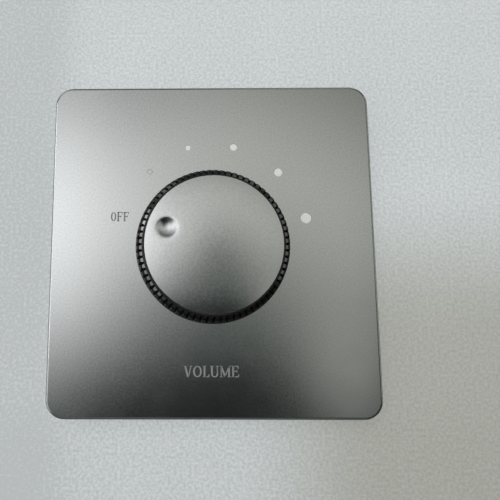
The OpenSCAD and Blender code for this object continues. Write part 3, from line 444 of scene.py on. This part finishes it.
# face plate: a front with a round hole, a rolled edge, and a skirt with a prising notch and snap ridges
plateForm = {"corner": 5.0, "cornerSteps": 17, "edge": 0.8, "edgeSteps": 13, "skirt": 1.8, "front": 2.0,
             "frontShares": (0.0, 0.01, 0.25, 0.5, 0.75, 0.99, 0.997, 1.0), "hole": 8.5, "notchHalf": 4.0,
             "notchHigh": 1.5, "besideNotch": 9, "acrossNotch": 7, "notchStep": 0.0005, "nearly": 0.01,
             "ridgeHalf": 4.0, "ridgeHigh": 1.4, "ridgeUp": 24.0, "ridgeFoot": 0.4, "ridgeReach": 0.8,
             "sharp": 35}


def plateRing(form, half, inset):
    # a rectangle drawn in by inset: quarter circles at the corners, joined by straight sides that have
    # points at both ends of the notch
    turn = np.radians(np.arange(0, 360, 90)[:, None] + np.linspace(0, 90, form["cornerSteps"]))
    middle = (half - form["corner"]) * np.array([[1, 1], [-1, 1], [-1, -1], [1, -1]])
    bend = form["corner"] - inset
    arcs = np.stack([middle[:, :1] + bend * np.cos(turn), middle[:, 1:] + bend * np.sin(turn)], axis=-1)
    notch = 0.5 - form["notchHalf"] / (2 * (half[0] - form["corner"]))
    inside = notch + form["notchStep"]
    near = np.linspace(0, notch, form["besideNotch"])[1:]
    across = np.linspace(inside, 1 - inside, form["acrossNotch"])
    along = np.concatenate([near, across, 1 - near[::-1]])[:, None]
    start = arcs[:, -1:]
    sides = start + (np.roll(arcs, -1, axis=0)[:, :1] - start) * along
    return np.concatenate([arcs, sides], axis=1).reshape(-1, 2)


def plateSurface(form):
    # rings run from the hole over the front and the rolled edge, down the skirt, and back inside
    first, last = reach("face_plate")
    half = last[:2]
    rear, front = first[2], last[2]
    outer = plateRing(form, half, 0.0)
    inner = plateRing(form, half, form["skirt"])
    face = plateRing(form, half, form["edge"])
    hole = form["hole"] * outer / np.linalg.norm(outer, axis=1, keepdims=True)
    atFoot = outer[:, 1] < form["nearly"] - half[1]
    inNotch = atFoot & (np.abs(outer[:, 0]) < form["notchHalf"] - form["nearly"])
    foot = rear + np.where(inNotch, form["notchHigh"], 0.0)
    level = np.ones(len(outer))
    back = level * (front - form["front"])
    rings = [(hole + (face - hole) * share, level * front) for share in form["frontShares"]]
    for turn in np.linspace(0, np.pi / 2, form["edgeSteps"])[1:]:
        bend = plateRing(form, half, form["edge"] * (1 - math.sin(turn)))
        rings.append((bend, level * (front - form["edge"] * (1 - math.cos(turn)))))
    rings += [(outer, foot), (inner, foot), (inner, back), (hole, back), rings[0]]
    return np.stack([onWall(ring[:, 0], ring[:, 1], out) for ring, out in rings])


def snapRidge(form, side, up):
    # a wedge inside the skirt: its five-sided section is carried along the skirt and closed at both ends
    first, last = reach("face_plate")
    skirt = last[0] - form["skirt"]
    foot = first[2] + form["ridgeFoot"]
    tip = skirt - form["ridgeReach"]
    root = skirt + form["skirt"] / 2
    top = foot + form["ridgeHigh"]
    section = np.array([(root, foot), (skirt, foot), (tip, (foot + top) / 2), (tip, top), (root, top)])
    middle = np.tile(section.mean(axis=0), (len(section), 1))
    rows = np.stack([middle, section, section, middle])
    reachUp = up + form["ridgeHalf"] * np.array([-1, -1, 1, 1])[:, None]
    return onWall(side * rows[..., 0], reachUp, rows[..., 1])


ridges = [snapRidge(plateForm, side, up * plateForm["ridgeUp"]) for side in (-1, 1) for up in (-1, 1)]
plate = newPiece("face_plate_shell", [plateSurface(plateForm)] + ridges, "platePaint", "base",
                 True, plateForm["sharp"])
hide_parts("face_plate")
print("plate made")

# cap of the knob: a low dome with a soft-edged round hollow as its pointer
capForm = {"dome": 0.8, "lower": 0.1, "edge": 0.1, "edgeSteps": 9, "roll": 0.08, "rollPower": 6,
           "hollowFromEdge": 5.0, "hollowRadius": 2.55, "hollowDepth": 0.66, "hollowRim": 1.6, "fade": 2.0,
           "soft": 0.19, "angle": 161.0, "around": 192, "hollowRings": 30, "outerRings": 40, "sharp": 50}


def capSurface(form):
    # rings start round the hollow and slide over to the rim; the height is a low dome that rolls off
    # near its rim, less a bowl, and a soft maximum rounds the bowl's rim
    first, last = reach("knob_cap")
    rim = last[0]
    flat = rim - form["edge"]
    top = last[2] - form["lower"]
    around = np.linspace(0, 2 * np.pi, form["around"], endpoint=False)
    angle = math.radians(form["angle"])
    middle = (rim - form["hollowFromEdge"]) * np.array([math.cos(angle), math.sin(angle)])
    near = form["hollowRadius"] + form["hollowRim"]
    inside = np.linspace(0, near, form["hollowRings"])
    outside = np.linspace(near, flat, form["outerRings"])[1:]
    radius = np.concatenate([inside, outside])[:, None]
    shift = np.clip((radius - near) / (flat - near), 0, 1)
    right = middle[0] * (1 - shift) + radius * np.cos(around)
    up = middle[1] * (1 - shift) + radius * np.sin(around)
    fromAxis = np.hypot(right, up)
    fromHollow = np.hypot(right - middle[0], up - middle[1]) / form["hollowRadius"]
    bowl = form["hollowDepth"] * (1 - fromHollow ** 2)
    sunk = 0.5 * (bowl + np.sqrt(bowl ** 2 + form["soft"] ** 2))
    sunk = sunk * np.clip((near / form["hollowRadius"] - fromHollow) * form["fade"], 0, 1)
    share = fromAxis / flat
    fall = (1 - form["roll"]) * share ** 2 + form["roll"] * share ** form["rollPower"]
    out = top - form["dome"] * fall - sunk
    turn = np.linspace(0, np.pi / 2, form["edgeSteps"])[1:, None]
    edgeTop = top - form["dome"] - form["edge"]
    rings = np.concatenate([flat + form["edge"] * np.sin(turn), [[rim], [0.0]]])
    levels = np.concatenate([edgeTop + form["edge"] * np.cos(turn), np.full((2, 1), first[2])])
    side = onWall(rings * np.cos(around), rings * np.sin(around), levels)
    return np.concatenate([onWall(right, up, out), side])


cap = newPiece("knob_cap_turned", [capSurface(capForm)], "platePaint", "knob", True,
               capForm["sharp"])
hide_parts("knob_cap")
print("cap made")

# print on the plate: two words, a ring and four dots that grow round the knob
printForm = {"film": 0.02, "thick": 0.16, "thin": 0.085, "serif": 0.07, "bowSteps": 40, "swell": 1.5,
             "around": 48, "dotRadii": (0.0, 0.5, 0.94, 1.0, 1.0), "dotRises": (1.0, 1.0, 1.0, 0.7, 0.0),
             "sharp": 30}
words = [
    {"text": "OFF", "right": -24.6, "up": 6.7, "high": 2.5, "wide": 4.8, "gap": 0.09, "roundWide": 0.60,
     "ink": "offInk"},
    {"text": "VOLUME", "right": -0.5, "up": -33.6, "high": 2.8, "wide": 14.0, "gap": 0.09,
     "roundWide": 0.76, "ink": "letterInk"},
]
dots = [
    {"right": -6.4, "up": 26.8, "wide": 1.3},
    {"right": 6.0, "up": 26.9, "wide": 1.8},
    {"right": 17.9, "up": 19.9, "wide": 2.1},
    {"right": 24.9, "up": 7.4, "wide": 2.7},
]
firstDot = {"right": -16.7, "up": 20.3, "wide": 1.6, "line": 0.3, "ink": "ringInk"}


def bar(x0, y0, x1, y1, wide):
    # straight stroke of one width
    step = np.linspace(0, 1, 2)
    return x0 + (x1 - x0) * step, y0 + (y1 - y0) * step, np.full(2, wide)


def bow(x, y, rx, ry, start, end, thin, thick):
    # part of an ellipse, thin at its top and foot and thick at its sides
    turn = np.radians(np.linspace(start, end, printForm["bowSteps"]))
    wide = thin + (thick - thin) * np.abs(np.cos(turn)) ** printForm["swell"]
    return x + rx * np.cos(turn), y + ry * np.sin(turn), wide


def serif(x, y, half):
    # level bar across the end of a stroke
    return bar(x - half, y, x + half, y, printForm["serif"])


def letterStrokes(letter, roundWide):
    # width of a letter and its strokes, for a height of one
    thick = printForm["thick"]
    thin = printForm["thin"]
    low = printForm["serif"] / 2
    high = 1 - low
    roundHalf = (roundWide - thick) / 2
    arms = [serif(0.14, low, 0.14), serif(0.14, high, 0.14), bar(0.14, low, 0.14, high, thick)]
    topArm = [bar(0.14, high, 0.58, high, thin), bar(0.58, high, 0.58, 0.76, thin)]
    midArm = [bar(0.14, 0.52, 0.44, 0.52, thin), bar(0.44, 0.40, 0.44, 0.64, thin)]
    footArm = [bar(0.14, low, 0.60, low, thin), bar(0.60, low, 0.60, 0.24, thin)]
    strokes = {
        "V": (0.68, [bar(0.09, high, 0.34, 0.0, thick), bar(0.60, high, 0.36, 0.0, thin),
                     serif(0.09, high, 0.12), serif(0.60, high, 0.10)]),
        "O": (roundWide, [bow(roundWide / 2, 0.5, roundHalf, 0.5 - thin / 2, 0, 360, thin, thick)]),
        "L": (0.54, arms + [bar(0.14, low, 0.52, low, thin), bar(0.52, low, 0.52, 0.26, thin)]),
        "U": (0.74, [bar(0.15, high, 0.15, 0.32, thick), bar(0.62, high, 0.62, 0.32, thin),
                     bow(0.385, 0.32, 0.235, 0.29, 180, 360, thin, thick * 0.9),
                     serif(0.15, high, 0.14), serif(0.62, high, 0.11)]),
        "M": (0.92, [bar(0.12, low, 0.12, high, thin), bar(0.79, low, 0.79, high, thick),
                     bar(0.12, high, 0.45, 0.06, thick), bar(0.79, high, 0.45, 0.06, thin),
                     serif(0.12, low, 0.11), serif(0.79, low, 0.13), serif(0.08, high, 0.08),
                     serif(0.84, high, 0.08)]),
        "E": (0.64, arms + topArm + midArm + footArm),
        "F": (0.62, arms + topArm + midArm),
    }
    return strokes[letter]


def strokeFilm(x, y, wide, level, film):
    # a film as wide as the stroke: its edges drop to the level below it on both sides and at both ends
    alongX = np.gradient(x)
    alongY = np.gradient(y)
    length = np.hypot(alongX, alongY)
    side = np.array([1, 1, -1, -1]) * wide[:, None] / 2
    right = x[:, None] - alongY[:, None] / length[:, None] * side
    up = y[:, None] + alongX[:, None] / length[:, None] * side
    out = np.tile(level + film * np.array([0.0, 1, 1, 0]), (len(x), 1))
    ends = np.full((1, 4), level)
    right = np.concatenate([right[:1], right, right[-1:]])
    up = np.concatenate([up[:1], up, up[-1:]])
    return onWall(right, up, np.concatenate([ends, out, ends]))


def wordFilms(word, level):
    # letters stand side by side, squeezed to the word's width
    shapes = [letterStrokes(letter, word["roundWide"]) for letter in word["text"]]
    total = sum(shape[0] for shape in shapes) + word["gap"] * (len(shapes) - 1)
    squeeze = word["wide"] / total
    start = word["right"] - word["wide"] / 2
    films = []
    for wide, strokes in shapes:
        for x, y, stroke in strokes:
            films.append(strokeFilm(start + x * squeeze, word["up"] + y * word["high"],
                                    stroke * word["high"], level, printForm["film"]))
        start += (wide + word["gap"]) * squeeze
    return films


def roundFilm(mark, radii, rises, level):
    # circles round the mark's middle, each with its radius and its share of the film's height
    around = np.linspace(0, 2 * np.pi, printForm["around"], endpoint=False)
    radius = np.array(radii)[:, None]
    rise = printForm["film"] * np.array(rises)[:, None]
    right = mark["right"] + radius * np.cos(around)
    up = mark["up"] + radius * np.sin(around)
    return onWall(right, up, level + rise)


def dotFilm(mark, level):
    # a flat round film with a soft edge
    radii = mark["wide"] / 2 * np.array(printForm["dotRadii"])
    return roundFilm(mark, radii, printForm["dotRises"], level)


def ringFilm(mark, level):
    # a film between two circles, whose edges drop to the plate
    inner = mark["wide"] / 2 - mark["line"]
    outer = inner + mark["line"]
    return roundFilm(mark, [inner, inner, outer, outer], [0.0, 1.0, 1.0, 0.0], level)


for word in words:
    newPiece("plate_word_" + word["text"].lower(), wordFilms(word, plateFront), word["ink"],
             "base", False, printForm["sharp"])
newPiece("plate_dots", [dotFilm(dot, plateFront) for dot in dots], "dotInk", "base", True,
         printForm["sharp"])
newPiece("plate_first_dot", [ringFilm(firstDot, plateFront)], firstDot["ink"], "base", True,
         printForm["sharp"])
print("print made")

# board: tracks under the mask on its rear, and solder round the tails and pins that come through it
boardForm = {"film": -0.03, "track": 0.9, "trackSharp": 30, "tailsAt": 8.5,
             "tails": (161, 131, 101, 71, 41, 11, 270), "pins": (-7.5, -2.5, 2.5, 7.5),
             "pinsUp": (20.95, -0.95), "clamps": (-11.43, -3.81, 3.81, 11.43), "clampsUp": -25.0,
             "foot": 1.0, "neck": 0.5, "rise": 0.5, "around": 24, "climbSteps": 7, "solderSharp": 40}
tracks = [
    [(-11.43, -25.0), (-11.43, -11.0), (-7.5, -7.0), (-7.5, -0.95)],
    [(-3.81, -25.0), (-3.81, -12.3), (0.0, -8.5)],
    [(3.81, -25.0), (3.81, -10.5), (2.5, -9.2), (2.5, -0.95)],
    [(11.43, -25.0), (11.43, -11.0), (7.5, -7.0), (7.5, -0.95)],
    [(-7.5, 20.95), (-7.5, 27.2), (-14.5, 27.2), (-19.6, 22.0), (-19.6, 8.0), (-14.4, 2.8), (-8.04, 2.77)],
    [(7.5, 20.95), (7.5, 27.2), (14.5, 27.2), (19.6, 22.0), (19.6, 6.8), (14.4, 1.6), (8.34, 1.62)],
]


def solderCone(right, up, level, rise, form):
    # a fillet round a pin: what it has beyond its neck falls with the square of the height left to climb
    around = np.linspace(0, 2 * np.pi, form["around"], endpoint=False)
    climb = np.linspace(0, 1, form["climbSteps"])[:, None]
    radius = form["neck"] + (form["foot"] - form["neck"]) * (1 - climb) ** 2
    radius = np.concatenate([[[0.0]], radius, [[0.0]]])
    height = np.concatenate([[[0.0]], climb, [[1.0]]]) * rise
    return onWall(right + radius * np.cos(around), up + radius * np.sin(around), level + height)


boardFirst, boardLast = reach("circuit_board")
trackFilms = []
for path in tracks:
    points = np.array(path)
    width = np.full(len(points), boardForm["track"])
    trackFilms.append(strokeFilm(points[:, 0], points[:, 1], width, boardFirst[2], boardForm["film"]))
newPiece("board_tracks", trackFilms, "trackGreen", "base", False, boardForm["trackSharp"])
tailTurn = np.radians(boardForm["tails"])
tailSpots = np.stack([np.cos(tailTurn), np.sin(tailTurn)], axis=-1) * boardForm["tailsAt"]
pinSpots = [(right, up) for up in boardForm["pinsUp"] for right in boardForm["pins"]]
pinSpots += [(right, boardForm["clampsUp"]) for right in boardForm["clamps"]]
cones = [solderCone(*spot, boardFirst[2], -boardForm["rise"], boardForm) for spot in tailSpots]
cones += [solderCone(*spot, boardLast[2], boardForm["rise"], boardForm) for spot in pinSpots]
newPiece("board_solder", cones, "solder", "base", True, boardForm["solderSharp"])
print("board dressed")

# camera: found from the plate's outline and the cap's rim in the photograph
view = {"right": -6.7, "up": -10.8, "fromPlate": 99.6, "pan": 0.53, "tilt": 6.09, "roll": -0.05,
        "focalPixels": 378.9, "middlePixels": (183.5, 246.8), "framePixels": 500.0, "sensor": 36.0,
        "nearest": 2.0}
eye = bpy.data.cameras.new("eye")
eye.sensor_width = view["sensor"]
eye.clip_start = view["nearest"] / metre
eye.lens = view["focalPixels"] / view["framePixels"] * eye.sensor_width
eye.shift_x = 0.5 - view["middlePixels"][0] / view["framePixels"]
eye.shift_y = view["middlePixels"][1] / view["framePixels"] - 0.5
eyeObject = bpy.data.objects.new("eye", eye)
bpy.context.scene.collection.objects.link(eyeObject)
stand = Matrix(((1, 0, 0), (0, 0, -1), (0, 1, 0)))  # looks straight at the wall
for angle, axis in (("pan", "Y"), ("tilt", "X"), ("roll", "Z")):
    stand = stand @ Matrix.Rotation(math.radians(view[angle]), 3, axis)
eyePlace = onWall(view["right"], view["up"], plateFront + view["fromPlate"])
eyeObject.matrix_world = Matrix.Translation(eyePlace.tolist()) @ stand.to_4x4()
bpy.context.scene.camera = eyeObject

# wall: pale plaster with an opening for the box, seen from its front only; painted shade darkens its left,
# its foot and its lower right corner
wallForm = {"rings": (37.0, 60.0, 150.0, 700.0), "dim": (0.50, 0.53, 0.53, 1),
            "pale": (0.72, 0.76, 0.765, 1), "shadeDim": (0.36, 0.37, 0.33, 1),
            "shadePale": (0.48, 0.49, 0.45, 1), "grain": 0.8, "cloud": 30.0, "spread": (0.3, 0.7),
            "grainShare": 0.7, "cloudShare": 0.3, "leftShadeDrop": 0.4, "leftShadeFrom": (35.0, 50.0),
            "footShadeDrop": 0.18, "footShadeFrom": (35.0, 55.0), "shadeRight": (5.0, 45.0),
            "shadeDown": (-20.0, 25.0), "rough": 0.8, "height": 0.05, "strength": 0.2, "even": 0.65}


def stageObject(name, grid, finish):
    # a mesh that is only there for the picture
    mesh = gridMesh(name, [grid], True)
    mesh.materials.append(finish)
    made = bpy.data.objects.new(name, mesh)
    bpy.context.scene.collection.objects.link(made)
    return made


def wallSurface(form):
    # a square ring: each side of the opening is carried out to the far edge
    corner = np.array([[-1, -1], [-1, 1], [1, 1], [1, -1]])
    rings = np.array(form["rings"])[:, None, None] * corner
    return onWall(rings[..., 0], rings[..., 1], 0.0)


def wallFinish(form):
    # grain and clouds, less a painted shade drop at the left and the foot, mix two tones of plaster and two
    # of painted shade at the lower right; part of it glows evenly to the eye and in mirrors, and it is clear
    # from behind
    made, start = emptyFinish("wallPlaster")
    place = start.place()
    grain = place.noise(form["grain"], detail=3, rough=0.6)
    cloud = place.noise(form["cloud"], detail=2)
    right = place.part("X")
    down = place.part("Z") * -1.0
    # painted shade: the wall grows darker towards its left and its foot
    leftShade = (right * -1.0).ease(*form["leftShadeFrom"]) * form["leftShadeDrop"]
    foot = down.ease(*form["footShadeFrom"]) * form["footShadeDrop"]
    mix = grain.ease(*form["spread"]) * form["grainShare"] + cloud * form["cloudShare"] - leftShade - foot
    # painted shadow: the lower right corner blends to two darker shade tones
    shade = mix.blend(form["shadeDim"], form["shadePale"])
    shaded = right.ease(*form["shadeRight"]) * down.ease(*form["shadeDown"])
    tone = shaded.blend(mix.blend(form["dim"], form["pale"]), shade)
    plaster = start.node("ShaderNodeBsdfPrincipled", None, {
        "Base Color": tone, "Roughness": form["rough"],
        "Normal": grain.bump(form["height"], form["strength"])})
    glow = start.node("ShaderNodeEmission", None, {"Color": tone})
    seen = start.node("ShaderNodeLightPath", None, None, "Is Camera Ray")
    mirrored = start.node("ShaderNodeLightPath", None, None, "Is Glossy Ray")
    evenly = (seen + mirrored) * form["even"]
    front = start.node("ShaderNodeMixShader", None, {0: evenly, 1: plaster, 2: glow})
    behind = start.node("ShaderNodeNewGeometry", None, None, "Backfacing")
    clear = start.node("ShaderNodeBsdfTransparent")
    both = start.node("ShaderNodeMixShader", None, {0: behind, 1: front, 2: clear})
    start.node("ShaderNodeOutputMaterial", None, {"Surface": both})
    return made


stageObject("wall", wallSurface(wallForm), wallFinish(wallForm))

# tent: a half round of soft light in front of the wall, which the metal mirrors
tentForm = {"radius": 1600.0, "around": 48, "rows": 16, "least": 0.008, "coolWarm": (-0.5, 0.4),
            "darkTo": 0.35, "cool": (1.04, 1.0, 1.05, 1), "warm": (1.02, 1.0, 0.95, 1),
            "dark": (0.86, 1.0, 0.99, 1)}

# what the tent holds: each is a bell of light, or of shade below zero, placed by the slope of the direction
glows = {
    "room": {"level": 1.68, "right": -0.24, "up": -0.09, "wide": 0.76, "high": 0.48},
    "window": {"level": 0.66, "right": -0.40, "up": 0.13, "wide": 0.11, "high": 0.35},
    "farWindow": {"level": 0.85, "right": -0.90, "up": 0.36, "wide": 0.21, "high": 0.40},
    "farLowWindow": {"level": 0.70, "right": -0.91, "up": -0.12, "wide": 0.18, "high": 0.22},
    "capGlow": {"level": 0.22, "right": -0.09, "up": 0.14, "wide": 0.08, "high": 0.08},
    "rightPatch": {"level": 0.52, "right": 0.42, "up": -0.27, "wide": 0.085, "high": 0.12},
    "rightEdge": {"level": 0.14, "right": 0.50, "up": -0.16, "wide": 0.05, "high": 0.31},
    "ceilingLight": {"level": 0.30, "right": -0.34, "up": 0.89, "wide": 0.31, "high": 0.16},
    "ceiling": {"level": 0.15, "right": 0.0, "up": 2.2, "wide": 1.5, "high": 0.6},
    "floorLine": {"level": 0.18, "right": 0.20, "up": -1.00, "wide": 0.50, "high": 0.25},
    "floorShade": {"level": -1.55, "right": -0.15, "up": -0.32, "wide": 0.69, "high": 0.28},
    "middleShade": {"level": -0.63, "right": 0.07, "up": 0.07, "wide": 0.15, "high": 0.14},
    "rightShade": {"level": -0.30, "right": 0.90, "up": 0.0, "wide": 0.20, "high": 0.35},
    "ceilingShade": {"level": -0.13, "right": -0.28, "up": 0.55, "wide": 0.18, "high": 0.06},
    "footShade": {"level": -0.045, "right": -0.10, "up": -0.36, "wide": 0.2, "high": 0.06},
    "patchShade": {"level": -0.04, "right": 0.21, "up": -0.36, "wide": 0.07, "high": 0.08},
    "cornerShade": {"level": -0.11, "right": -0.36, "up": -0.34, "wide": 0.08, "high": 0.05},
}


def tentSurface(form):
    # half a sphere from its pole straight ahead out to the wall
    around = np.linspace(0, 2 * np.pi, form["around"], endpoint=False)
    fall = np.linspace(0.0, np.pi / 2, form["rows"])[:, None]
    flat = form["radius"] * np.sin(fall)
    return onWall(flat * np.cos(around), flat * np.sin(around), form["radius"] * np.cos(fall))


def tentFinish(form, bells):
    # the sum of the bells, never under the least, with a tint that follows its side and its level
    made, start = emptyFinish("tentGlow")
    place = start.place()
    ahead = place.part("Y") * -1.0 + 1.0  # one millimetre more, so that it is never zero
    right = place.part("X") / ahead
    up = place.part("Z") / ahead
    light = [right.bell(bell["right"], bell["wide"]) * up.bell(bell["up"], bell["high"]) * bell["level"]
             for bell in bells.values()]
    level = start.math("MAXIMUM", sum(light), form["least"])
    tint = right.ease(*form["coolWarm"]).blend(form["cool"], form["warm"])
    tint = level.ease(0.0, form["darkTo"]).blend(form["dark"], tint)
    colour = start.node("ShaderNodeVectorMath", {"operation": "SCALE"}, {0: tint, "Scale": level})
    glow = start.node("ShaderNodeEmission", None, {"Color": colour})
    start.node("ShaderNodeOutputMaterial", None, {"Surface": glow})
    return made


tent = stageObject("tent", tentSurface(tentForm), tentFinish(tentForm, glows))
tent.visible_camera = False

# lamps: soft panels out of the plate's mirror at the sides and above, and one in front that isn't mirrored
lamps = [
    {"name": "windowLeft", "right": -850, "up": 110, "out": 480, "wide": 300, "high": 600, "level": 1.8},
    {"name": "windowLow", "right": -700, "up": -320, "out": 480, "wide": 300, "high": 480, "level": 1.2},
    {"name": "fillRight", "right": 1050, "up": 200, "out": 450, "wide": 350, "high": 1300, "level": 0.7,
     "colour": (1.0, 0.98, 0.94)},
    {"name": "windowHigh", "right": -520, "up": 760, "out": 380, "wide": 420, "high": 260, "level": 0.8},
    {"name": "windowTop", "right": 400, "up": 880, "out": 380, "wide": 900, "high": 260, "level": 0.5},
    {"name": "glint", "right": -700, "up": 370, "out": 405, "wide": 120, "high": 220, "level": 4.2},
    {"name": "softFront", "right": -300, "up": 500, "out": 900, "wide": 600, "high": 600, "level": 4.2,
     "mirrored": False},
]


def softPanel(form):
    # a rectangle of light that faces the middle of the wall's opening, white where no colour is given;
    # its power is its level times its area times pi
    data = bpy.data.lights.new(form["name"], "AREA")
    data.shape = "RECTANGLE"
    data.size = form["wide"] / metre
    data.size_y = form["high"] / metre
    data.energy = form["level"] * math.pi * data.size * data.size_y
    data.color = form.get("colour", (1.0, 1.0, 1.0))
    made = bpy.data.objects.new(form["name"], data)
    bpy.context.scene.collection.objects.link(made)
    place = Vector(onWall(form["right"], form["up"], form["out"]).tolist())
    made.location = place
    made.rotation_mode = "QUATERNION"
    made.rotation_quaternion = (-place).to_track_quat("-Z", "Y")
    made.visible_glossy = form.get("mirrored", True)


for form in lamps:
    softPanel(form)

# room: an even pale light beyond the wall and the tent
roomForm = {"colour": grey(0.8), "strength": 1.0}
world = bpy.data.worlds.new("paleRoom")
world.use_nodes = True
background = world.node_tree.nodes["Background"]
background.inputs["Color"].default_value = roomForm["colour"]
background.inputs["Strength"].default_value = roomForm["strength"]
bpy.context.scene.world = world
bpy.context.scene.view_settings.view_transform = "Standard"
print("stage made")
